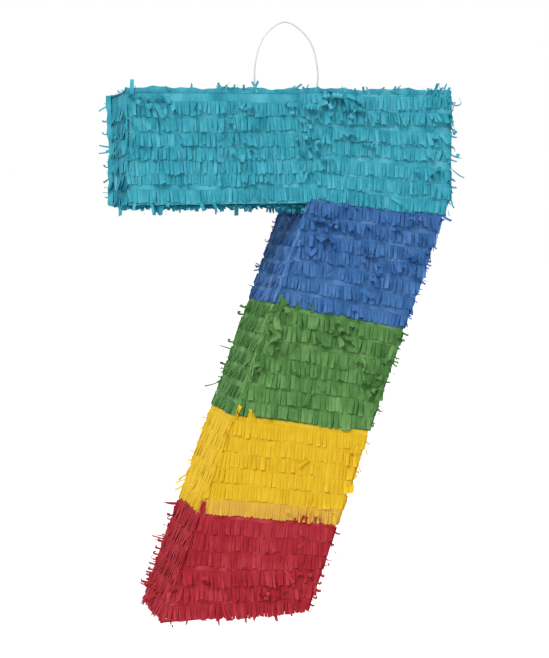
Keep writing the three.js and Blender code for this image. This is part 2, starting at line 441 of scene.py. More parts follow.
def waves(rng, s, *kinds):
    """A wavy line along s: sines, each given by its size and by its wavelength over two pi."""
    return sum(size * np.sin(s / stretch + rng.uniform(0, 6)) for size, stretch in kinds)


def ease(x):
    x = np.clip(x, 0, 1)
    return x * x * (3 - 2 * x)


class Paper:
    """The sheets of tissue that make up one piece."""

    def __init__(self):
        self.points, self.faces, self.shades = [], [], []
        self.count = 0

    def add(self, points, faces, shades):
        self.points.append(points.reshape(-1, 3))
        self.faces.append(faces.reshape(-1, 4) + self.count)
        self.shades.append(np.broadcast_to(shades, points.shape[:-1]).reshape(-1))
        self.count += len(self.points[-1])

    def add_grid(self, points, shades, keep=None, snap=None):
        """A sheet whose points form rows and columns. keep(middles) says which of its cells stay, and
        snap(points) moves the points of those that stay where they need to be."""
        faces = quads(*points.shape[:2])
        if keep is not None:
            faces = faces[keep(points.reshape(-1, 3)[faces].mean(1))]
        if snap is not None:
            points = snap(points)
        self.add(points, faces, shades)

    def piece(self, name, material, slot, body, node):
        points = np.concatenate(self.points)
        faces = np.concatenate(self.faces)
        used, inverse = np.unique(faces, return_inverse=True)
        mesh = bpy.data.meshes.new(name)
        mesh.from_pydata(points[used].tolist(), [], inverse.reshape(-1, 4).tolist())
        mesh.polygons.foreach_set("use_smooth", np.ones(len(faces), bool))
        shade = mesh.attributes.new("shade", "FLOAT", "POINT")
        shade.data.foreach_set("value", np.concatenate(self.shades)[used].astype(np.float32))
        mesh.materials.append(material)
        mesh.update()
        piece = put(name, mesh)
        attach(piece, body)
        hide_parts(node)


TAB_FIELDS = (
    "root", "across", "down", "out", "height", "width", "length", "splay",
    "lift", "bend", "fold", "curl", "twist", "slant", "shade",
)


def tab_at(line, root, **settings):
    """A flat tab that hangs straight down from its root, apart from the given settings."""
    tab = dict.fromkeys(TAB_FIELDS, 0.0)
    tab.update(root=root, across=line.across, down=line.fall, out=line.out)
    tab.update(settings)
    return tab


def add_tabs(paper, tabs, steps, crown, tip_out):
    """Cuts of tissue, each a ribbon that leaves its root and bends, folds, curls and twists on its way.

    None goes into the tissue below it, which is at the height tip_out from halfway down a tab. No two tips
    are pressed to quite the same height.
    """
    if not tabs:
        return
    cut = {key: np.array([tab[key] for tab in tabs], float) for key in TAB_FIELDS}
    share = np.linspace(0, 1, steps + 1)
    angle = cut["lift"][:, None] + cut["bend"][:, None] * share + cut["curl"][:, None] * share**2
    angle = angle + cut["fold"][:, None] * ease((share - FOLD_START) / FOLD_SHARE)
    middle = (angle[:, 1:] + angle[:, :-1]) / 2
    step = (cut["length"] / steps)[:, None]
    zero = np.zeros((len(tabs), 1))
    along = np.concatenate([zero, np.cumsum(np.cos(middle) * step, 1)], 1)[..., None]
    away = np.concatenate([zero, np.cumsum(np.sin(middle) * step, 1)], 1)[..., None]
    splay = cut["splay"][:, None]
    fall = (cut["down"] * np.cos(splay) + cut["across"] * np.sin(splay))[:, None]
    side = (cut["across"] * np.cos(splay) - cut["down"] * np.sin(splay))[:, None]
    out = cut["out"][:, None]
    root = cut["root"][:, None]
    centre = root + fall * along + out * (away + cut["height"][:, None, None])

    cos, sin = np.cos(angle)[..., None], np.sin(angle)[..., None]
    tangent = fall * cos + out * sin
    upward = out * cos - fall * sin
    turn = (cut["twist"][:, None] * share)[..., None]
    width_way = side * np.cos(turn) + upward * np.sin(turn)
    crown_way = upward * np.cos(turn) - side * np.sin(turn)
    half = (cut["width"][:, None] / 2 * (1 - TAPER * share))[..., None]
    slant = (cut["slant"][:, None] * (share == 1))[..., None] * tangent
    lines = [centre - width_way * half + slant, centre + width_way * half - slant]
    if crown:
        lines.insert(1, centre + crown_way * half * 2 * crown)
    points = np.stack(lines, 2)

    height = ((points - root[:, :, None]) * out[:, :, None]).sum(-1, keepdims=True)
    room = np.where(np.abs(cut["out"][:, 1]) > 0.5, FRONT_ROOM, SIDE_ROOM)[:, None, None, None]
    points = points - PRESSED_BACK * np.maximum(height - room, 0) * out[:, :, None]
    tips = tip_out + TIP_SPREAD * (np.arange(len(tabs)) * 0.618 % 1)
    lowest = LOWEST_OUT + (tips[:, None] - LOWEST_OUT) * ease(share / 0.5)
    points = points + np.maximum(lowest[:, :, None, None] - height, 0) * out[:, :, None]
    rows, columns = points.shape[1:3]
    faces = np.arange(len(tabs))[:, None, None] * rows * columns + quads(rows, columns)[None]
    # Painted light and shade: each tab is painted lighter towards its tip and darker near its root
    shades = (cut["shade"][:, None] + TIP_PAINTED_LIGHT * (share - 0.4))[..., None] * np.ones(columns)
    paper.add(points, faces, shades)


@dataclass
class Style:
    """How one face's fringe is cut and how neatly it lies: lengths in millimetres and angles in degrees."""

    rows: int
    first_cut: float
    tab: float = 13.5
    overhang: float = 0.0  # how far the last row hangs past the face
    width: tuple = (2.4, 4.6)
    last_width: tuple = ()  # the last row's, where it differs
    mess: float = 0.1
    last_row_mess: float = 0.0
    spots: tuple = ()
    header: float = 6.0
    lift: float = 7.0
    pull: float = 0.3  # how much weight turns a tab
    lean: float = 0.9  # how much a tab near an edge follows it
    hold: float = 0.3  # how far tabs fall away from a face that looks down
    clump: int = 4  # how many tabs at most move as one
    # painted light and shade: how much lighter or darker a face's tissue is painted for the light that side
    # gets
    shade: float = 0.0
    last_shade: float = 0.0
    contrast: float = 0.25
    wave: float = 0.7
    gap: float = 1.0
    crumple: float = 1.0

    def mess_at(self, along, down):
        """How untidy the tabs are at a place on the face, from 0, neat, up to 1 or so."""
        mess = self.mess
        for x, z, radius, amount in self.spots:
            far = ((along / MM - x) ** 2 + (down / MM - z) ** 2) / radius**2
            mess += amount * math.exp(-far)
        return max(mess, 0.0)


def new_tab(rng, style, line, s, root, width, mess, clump, ply):
    """One tab of a row, with its own bends. The lower ply lies flatter than the top one, and is painted
    darker than it, as painted shade under the top ply.
    """
    hanging = math.asin(np.clip(np.dot(-UP, line.out), -1, 1))
    follow, loose, longer = (1.0, mess, 0.0) if ply == 0 else (0.4, mess * 0.25, 0.03)
    lift = clump["lift"] * follow + abs(math.radians(rng.normal(0, 1.0 + 13 * loose)))
    tab = tab_at(
        line, root,
        down=line.hang(s, style.lean, style.pull),
        height=TOP_PLY_OUT if ply == 0 else UNDER_PLY_OUT,
        width=width,
        length=style.tab * MM * clump["length"] * (1 + rng.normal(longer, 0.018 + 0.09 * loose)),
        splay=clump["splay"] * follow + math.radians(rng.normal(0, 0.4 + 11 * loose)),
        lift=lift,
        bend=-1.1 * lift + math.radians(rng.normal(0, 2.5 + 42 * loose)),
        curl=follow * math.radians(rng.normal(3, 16)) * style.crumple,
        twist=math.radians(rng.normal(0, 6 * style.crumple + 38 * loose)),
        slant=rng.normal(0, 0.12 + 0.5 * loose) * MM,
        # The lower ply is painted darker: painted shade under the top ply
        shade=clump["shade"] + rng.normal(0, 0.8 * style.contrast) - (0.25 if ply else 0),
    )
    if hanging > 0:
        tab["lift"] += hanging * style.hold * rng.uniform(0.5, 1.1)
    if ply == 0 and rng.random() < 0.24 * mess**1.3:
        kind = rng.random()
        if kind < 0.35:
            tab["fold"] = math.radians(rng.uniform(70, 165))
            tab["length"] *= rng.uniform(0.8, 1.05)
        elif kind < 0.75:
            tab["curl"] = math.radians(rng.uniform(100, 290))
            tab["length"] *= rng.uniform(1.0, 1.35)
        else:
            tab["splay"] += math.radians(rng.choice([-1, 1]) * rng.uniform(20, 60))
            tab["lift"] += math.radians(rng.uniform(5, 30))
    return tab


def always(_):
    return True


class Ripple:
    """A row's own gentle waviness, as a distance up or down along it."""

    def __init__(self, rng, size):
        self.size = size
        self.phases = rng.uniform(0, 2 * math.pi, 2)

    def at(self, s):
        long_wave = np.sin(s / 0.024 + self.phases[0])
        short_wave = np.sin(s / 0.0095 + self.phases[1])
        return self.size * (0.7 * long_wave + 0.4 * short_wave)


def fringe_row(rng, style, line, down, ripple, keep, tip_limit, is_last):
    """The tabs of one row, both plies, as two lists."""
    widths, row_shade, row_mess = style.width, 0.0, 0.0
    if is_last:
        widths = style.last_width or style.width
        row_shade, row_mess = style.last_shade, style.last_row_mess
    top, under = [], []
    s = rng.uniform(-1.0, -0.2) * MM
    left_in_clump = 0
    clump = None
    phase, period = rng.uniform(0, 6.28), rng.uniform(0.03, 0.07)
    while s < line.length - 1.0 * MM:
        mess = style.mess_at(s, down + style.tab * MM / 2) + row_mess
        width = rng.uniform(*widths) * MM * (1 + 0.45 * min(mess, 1.0))
        width = min(width, line.length - s + 0.3 * MM)
        middle = s + width / 2
        if left_in_clump <= 0:
            left_in_clump = rng.integers(1, style.clump + 1)
            sway = math.sin(middle / period + phase)
            clump = {
                "splay": math.radians(1.2 * sway + rng.normal(0, 0.2 + 8 * mess)),
                "lift": math.radians(style.lift) * rng.uniform(0.3, 1.6) * (1 + mess),
                "length": 1 + rng.normal(0, 0.045),
                "shade": style.shade + row_shade + rng.normal(0, 0.7 * style.contrast),
            }
            gap = rng.uniform(0.1, 0.4) * style.gap * MM
        else:
            gap = rng.uniform(-0.1, 0.12) * style.gap * MM
        left_in_clump -= 1
        root = line.start + line.across * middle + line.fall * ripple.at(middle)
        if keep(root):
            tab = new_tab(rng, style, line, middle, root, width - gap, mess, clump, 0)
            lower = new_tab(rng, style, line, middle, root, width - gap * 1.1, mess, clump, 1)
            if tip_limit is not None:
                for cut in (tab, lower):
                    cut["length"] = min(cut["length"], tip_limit(root))
            if rng.random() > 0.008 + 0.03 * mess and tab["length"] > SHORTEST_TAB:
                top.append(tab)
            if lower["length"] > SHORTEST_TAB:
                under.append(lower)
        s += width
    return top, under


def add_header(rng, paper, style, face, line, ripple, height, keep_cells, snap):
    """The glued, uncut part of a strip, from its cut line up, a little puckered and faded in places."""
    trims = [0.5 * face.trim("left"), 0.5 * face.trim("right")]
    s = np.linspace(trims[0], line.length - trims[1], max(2, int(line.length / HEADER_CELL)))
    up = np.array([0, 0.35, 0.8, 1.0])[:, None]
    pucker = waves(rng, s, (1, 0.006), (1, 0.0023))
    out_by = HEADER_OUT + (BASE_OUT - HEADER_OUT) * up**3 + 0.16 * MM * pucker * (1 - up)
    down_by = ripple.at(s) * (1 - up) - up * height
    points = line.start + line.across * s[None, :, None]
    points = points + line.fall * down_by[..., None] + line.out * out_by[..., None]
    shades = style.shade + 0.2 + 0.4 * waves(rng, s, (1, 0.013), (1, 0.0047))
    paper.add_grid(points, np.broadcast_to(shades, (len(up), len(s))), keep_cells, snap)


def add_base(paper, face, keep_cells, snap):
    """The flat tissue that covers the card under the rows."""
    top, bottom = face.trim("top"), face.height - face.trim("bottom")
    left, right = face.trim("left"), face.trim("right")
    columns = max(2, int(Line(face, 0).length / BASE_CELL))
    rows = []
    for down in np.linspace(top, bottom, max(3, int(face.height / BASE_CELL))):
        line = Line(face, down)
        s = np.linspace(left, line.length - right, columns)
        rows.append(line.start + line.across * s[:, None] + line.out * BASE_OUT)
    paper.add_grid(np.array(rows), np.full((len(rows), columns), -0.1), keep_cells, snap)


def row_places(rng, style, face):
    """How far down the face each row is cut."""
    last = face.height + (style.overhang - style.tab) * MM
    places = np.linspace(style.first_cut * MM, last, style.rows)
    wobble = rng.normal(0, style.wave * MM, style.rows)
    wobble[0] = 0
    wobble[-1] *= 0.3
    return places + wobble


def lay_rows(rng, paper, face, style, keep=always, keep_cells=None, snap=None, tip_limit=None):
    """Covers a face: flat tissue, then every row's header and its two plies of tabs."""
    add_base(paper, face, keep_cells, snap)
    top, under = [], []
    previous = 0.0
    places = row_places(rng, style, face)
    for i, down in enumerate(places):
        line = Line(face, down)
        ripple = Ripple(rng, style.wave * MM)
        height = max(style.header * MM, (down - previous) * 0.75) if i else down - 0.5 * face.trim("top")
        add_header(rng, paper, style, face, line, ripple, height, keep_cells, snap)
        is_last = i == len(places) - 1
        row = fringe_row(rng, style, line, down, ripple, keep, tip_limit, is_last)
        top += row[0]
        under += row[1]
        previous = down
    add_tabs(paper, under, UNDER_STEPS, 0, UNDER_TIP_OUT)
    add_tabs(paper, top, TOP_STEPS, 0.1, TOP_TIP_OUT)


def add_strays(rng, paper, face, strays):
    """Loose cuts, each given by its place along and down the face, its length and width, all in millimetres,
    its turn from straight down, how far it lifts off and how far it curls, in degrees."""
    tabs = []
    for along, down, length, width, turn, lift, curl in strays:
        line = Line(face, down * MM)
        tabs.append(tab_at(
            line, line.start + line.across * along * MM,
            height=TOP_PLY_OUT + 0.3 * MM,
            width=width * MM,
            length=length * MM,
            splay=math.radians(turn + rng.normal(0, 5)),
            lift=math.radians(lift + rng.normal(0, 5)),
            curl=math.radians(curl + rng.normal(0, 20)),
            twist=math.radians(rng.normal(0, 50)),
            slant=rng.normal(0, 0.4) * MM,
            shade=rng.normal(0, 0.5),
        ))
    add_tabs(paper, tabs, STRAY_STEPS, 0.05, TOP_PLY_OUT)


def top_fray(rng, face):
    """A short torn cut that stands up along a face's top edge, as add_strays takes it."""
    return (
        rng.uniform(2, Line(face, 0).length / MM - 2), rng.uniform(0, 2), rng.uniform(5.5, 9.5),
        rng.uniform(1, 2.6), 180 + rng.normal(0, 38), 14, rng.normal(0, 60),
    )


def side_fray(rng, face):
    """A short torn cut that sticks out along a side face's left edge, as add_strays takes it."""
    return (
        rng.uniform(0.5, 2.5), rng.uniform(4, face.height / MM - 8), rng.uniform(4.5, 8.5),
        rng.uniform(1, 2.2), -55 + rng.normal(0, 22), 45, rng.normal(70, 90),
    )


def bundle(along, down, count, width, length, turn, lift, curl):
    """Loose cuts side by side that have curled up together, as add_strays takes them."""
    rest = length, width * 1.1, turn, lift, curl
    return [(along + i * width, down + 0.4 * (i % 3), *rest) for i in range(count)]


def add_ridge(rng, paper, start, end, inward, rise):
    """A puckered fold of tissue that stands up along an edge, where two faces meet."""
    start, end = np.array(start), np.array(end)
    length = np.linalg.norm(end - start)
    s = np.linspace(0, length, int(length / RIDGE_CELL))
    stand = np.maximum(RIDGE_HEIGHT + waves(rng, s, (0.8, 0.013), (0.7, 0.0056), (0.4, 0.0023)), 0.3)
    edge = start + (end - start) * (s / length)[:, None]
    rows = []
    for inward_by, share, rise_by in RIDGE_PROFILE:
        up = share * stand + rise_by
        rows.append(edge + np.array(inward) * inward_by * MM + np.array(rise) * up[:, None] * MM)
    paper.add_grid(np.array(rows), np.broadcast_to(waves(rng, s, (0.3, 0.0037)), (len(rows), len(s))))


def add_bottom_fold(rng, paper, face, drop=0.0, inward=0.0, shade=0.8, keep_cells=None):
    """The edge of the tissue along a face's bottom, turned in under it. Lengths are in millimetres."""
    rows = []
    for up, out in BOTTOM_FOLD_PROFILE:
        line = Line(face, face.height + (drop - up) * MM)
        s = np.linspace(0.5 * MM, line.length, BOTTOM_FOLD_COLUMNS)[:, None]
        waver = waves(rng, s, (0.25 * MM, 0.011))
        rows.append(line.start + line.across * s + line.fall * waver + line.out * (out - inward) * MM)
    paper.add_grid(np.array(rows), np.full((len(rows), BOTTOM_FOLD_COLUMNS), shade), keep_cells)


def add_edge_fold(rng, paper, face, first, last, strands):
    """The pale folded edge of a strip along a face's left edge, with thin strands torn from it."""
    shares = np.linspace(first, last, EDGE_FOLD_ROWS)
    waver = 0.35 * MM * np.sin(shares * 37 + rng.uniform(0, 6))
    middle = Line(face, face.height / 2)
    rows = []
    for share, shift in zip(shares, waver):
        edge = face.left.point(share) + middle.across * shift
        inner = edge + middle.across * 3.2 * MM - middle.out * 0.6 * MM
        outer = edge - middle.across * 0.4 * MM - middle.out * 1.3 * MM
        rows.append([outer, edge + middle.across * 0.3 * MM, inner])
    paper.add_grid(np.array(rows), np.full((EDGE_FOLD_ROWS, 3), 1.1))
    tabs = []
    for _ in range(strands):
        share = rng.uniform(first, last - 0.1)
        tabs.append(tab_at(
            middle, face.left.point(share) + middle.across * rng.uniform(-1.0, 1.5) * MM,
            down=face.left.way(share),
            height=0.3 * MM,
            width=rng.uniform(0.5, 1.1) * MM,
            length=rng.uniform(14, 34) * MM,
            splay=math.radians(rng.normal(0, 5)),
            lift=math.radians(rng.uniform(0, 8)),
            bend=math.radians(rng.normal(-8, 6)),
            curl=math.radians(rng.normal(0, 10)),
            twist=math.radians(rng.normal(0, 60)),
            shade=rng.uniform(0.4, 1.3),
        ))
    add_tabs(paper, tabs, STRAND_STEPS, 0, TOP_PLY_OUT)


# ---- the object ----

front_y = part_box("teal_front_left")[0].y
back_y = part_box("teal_back")[1].y
bar_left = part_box("teal_front_left")[0].x
bar_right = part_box("teal_front_right")[1].x
top_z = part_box("teal_front_left")[1].z
low_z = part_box("teal_front_left")[0].z
foot_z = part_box("red_foot")[0].z


def at_front(p):
    return (p[0], front_y, p[1])


def at_back(p):
    return (p[0], back_y, p[1])


def front_face(left, right, flat):
    return Face(Edge(*map(at_front, left)), Edge(*map(at_front, right)), flat)


def back_face(left, right, flat):
    """A back face between the same two lines as a front one, which change sides as seen from behind."""
    swap = {"left": "right", "right": "left"}
    return Face(Edge(*map(at_back, right)), Edge(*map(at_back, left)), [swap.get(e, e) for e in flat])


def right_side(line, flat=()):
    return Face(Edge(*map(at_front, line)), Edge(*map(at_back, line)), flat)


def left_side(line, flat=(), hollow=()):
    return Face(Edge(*map(at_back, line)), Edge(*map(at_front, line)), flat, hollow)


def facing_down(left_x, right_x, z, hollow=()):
    """A face that looks down, with its tabs pointing to the front."""
    left = Edge((right_x, back_y, z), (right_x, front_y, z))
    right = Edge((left_x, back_y, z), (left_x, front_y, z))
    return Face(left, right, hollow=hollow)


BANDS = ("blue", "green", "yellow", "red")
corners = {band: flat_corners(band + "_front") for band in BANDS}
seam_top, _, _, seam_low = flat_corners("teal_front_right")
elbow_z = min(z for x, z in flat_points("teal_front_right") if x > bar_right - 0.1 * MM)
blue_start, blue_end, _, blue_low = corners["blue"]
blue_slope = (blue_end[1] - blue_start[1]) / (blue_end[0] - blue_start[0])
blue_run = (blue_low[0] - blue_start[0]) / (blue_low[1] - blue_start[1])
crotch_x = blue_start[0] + (low_z - blue_start[1]) * blue_run
right_line = [(bar_right, top_z), (bar_right, elbow_z), blue_end]
left_line = [(bar_left, top_z), (bar_left, low_z)]
seam_line = [seam_top, seam_low]
seam_run = (seam_low[0] - seam_top[0]) / (seam_low[1] - seam_top[1])
seam_line_low = [seam_top, (seam_top[0] + seam_run * (low_z - seam_top[1]), low_z)]


def room_above_blue(points):
    """How far points on the bar are above the line where the blue band starts, or above its underside."""
    points = np.atleast_2d(points)
    x = points[:, 0]
    line = np.where(x < blue_start[0], low_z, blue_start[1] + blue_slope * (x - blue_start[0]))
    return points[:, 2] - line


# Messier places: along, down, radius and how much messier. A negative one is neater
TEAL_SPOTS_LEFT = [
    (25, 8, 20, 1.3), (71, 15, 8, 0.6), (120, 13, 10, 0.9), (132, 27, 9, 0.8), (98, 34, 14, 0.7),
    (60, 60, 40, 0.15), (110, 66, 18, 0.4), (8, 60, 14, 0.4), (120, 90, 24, 0.3), (184, 60, 9, 1.0),
    (190, 90, 9, 0.9), (176, 20, 10, 0.8),
]
TEAL_SPOTS_RIGHT = [
    (18, 22, 14, 0.9), (48, 10, 12, 0.9), (40, 32, 14, 0.6), (74, 26, 12, 0.7), (108, 26, 12, 0.7),
    (10, 56, 12, 0.9), (146, 30, 16, 0.9), (138, 62, 18, 0.8), (130, 88, 14, 0.5), (2, 90, 8, 0.7),
]
BLUE_SPOTS = [
    (20, 22, 14, 1.0), (44, 30, 14, 0.9), (70, 38, 12, 0.6), (22, 48, 12, 0.7), (96, 68, 14, 0.7),
    (130, 60, 20, 0.5), (88, 94, 14, 0.7), (4, 84, 12, 0.6), (112, 18, 14, 0.9), (136, 20, 12, 0.9),
]
GREEN_SPOTS = [
    (6, 8, 11, 1.7), (14, 30, 16, 0.9), (92, 30, 14, 0.9), (26, 46, 14, 0.6), (140, 50, 18, 0.6),
    (4, 70, 16, 0.5), (134, 84, 18, 0.6), (60, 16, 16, 0.4),
]
YELLOW_SPOTS = [(122, 98, 18, 0.5), (140, 30, 12, 0.4), (140, 60, 12, 0.4), (50, 40, 20, 0.1)]
RED_SPOTS = [
    (60, 96, 14, 0.5), (96, 84, 10, 0.5), (4, 60, 10, 0.4), (120, 50, 20, 0.2), (140, 80, 30, 0.3),
    (10, 80, 30, 0.3), (70, 92, 40, 0.2),
]
LOOP_FLAT_SPOTS = [(168, 20, 40, -0.3), (168, 60, 40, -0.4)]

STYLES = {
    "teal_left": Style(
        7, 12, overhang=-3, mess=0.12, spots=TEAL_SPOTS_LEFT, width=(1.9, 4.2), wave=1.1, crumple=1.4,
    ),
    "teal_right": Style(
        7, 5, overhang=1, mess=0.14, spots=TEAL_SPOTS_RIGHT, width=(1.9, 4.2), wave=1.1, crumple=1.4,
    ),
    "blue": Style(
        7, 4, overhang=1, mess=0.17, spots=BLUE_SPOTS, width=(2.0, 4.4), wave=1.1, crumple=1.5, lift=9.0,
        last_row_mess=0.2,
    ),
    "green": Style(
        7, 5, tab=15, mess=0.18, spots=GREEN_SPOTS, width=(2.4, 6.0), wave=1.1, contrast=0.28, gap=0.7,
    ),
    "yellow": Style(
        6, 5, tab=16, mess=0.03, spots=YELLOW_SPOTS, width=(2.2, 5.4), lift=1.6, contrast=0.14,
        last_shade=1.9, last_width=(1.5, 2.8), gap=0.2, crumple=0.3,
    ),
    "red": Style(
        6, 4, tab=16, overhang=3.5, mess=0.1, spots=RED_SPOTS, width=(1.8, 4.6), lift=2, contrast=0.22,
        gap=0.3, crumple=0.7, wave=1.3,
    ),
}

